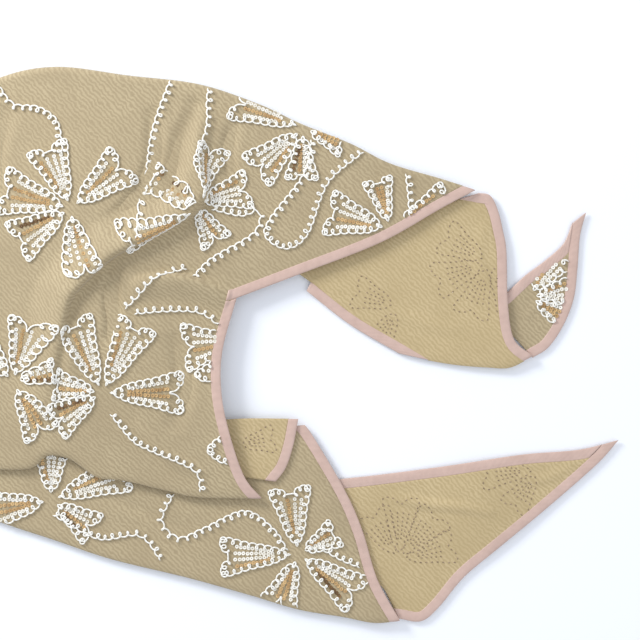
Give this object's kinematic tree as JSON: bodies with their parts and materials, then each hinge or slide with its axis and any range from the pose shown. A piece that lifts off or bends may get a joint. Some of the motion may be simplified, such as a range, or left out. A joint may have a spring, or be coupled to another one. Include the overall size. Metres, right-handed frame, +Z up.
{
  "type": "embroidered headscarf",
  "caption": "Triangular crepe headscarf with looped-cord flower embroidery, sequins and satin-bound edges, lying folded on a table.",
  "frame": {"origin": "bottom centre of the folded scarf's box, on the table", "axes": "+Z up from the table, +X towards the two tails, +Y towards the upper fold"},
  "size_m": [0.6516, 0.4429, 0.0265],
  "materials": {
    "crepe_front": "matte crepe with fine ribs, embroidered",
    "crepe_reverse": "matte crepe, reverse side",
    "satin_binding": "satin bias binding",
    "crepe_hidden": "matte crepe"
  },
  "bodies": {
    "root": {"body_front": "crepe_front", "lower_front": "crepe_front", "upper_tail_tip": "crepe_front", "turn_reverse": "crepe_reverse", "lower_tail_reverse": "crepe_reverse", "upper_tail_reverse": "crepe_reverse", "binding_body_upper": "satin_binding", "binding_body_lower": "satin_binding", "binding_apex_upper": "satin_binding", "binding_apex_lower": "satin_binding", "binding_turn": "satin_binding", "binding_lower_front": "satin_binding", "binding_lower_tail_leg": "satin_binding", "binding_lower_tail_long": "satin_binding", "binding_upper_tail_long": "satin_binding", "binding_upper_tail_leg": "satin_binding", "binding_tip_leg": "satin_binding", "binding_tip_long": "satin_binding", "hidden_layers": "crepe_hidden"}
  },
  "joints": []
}
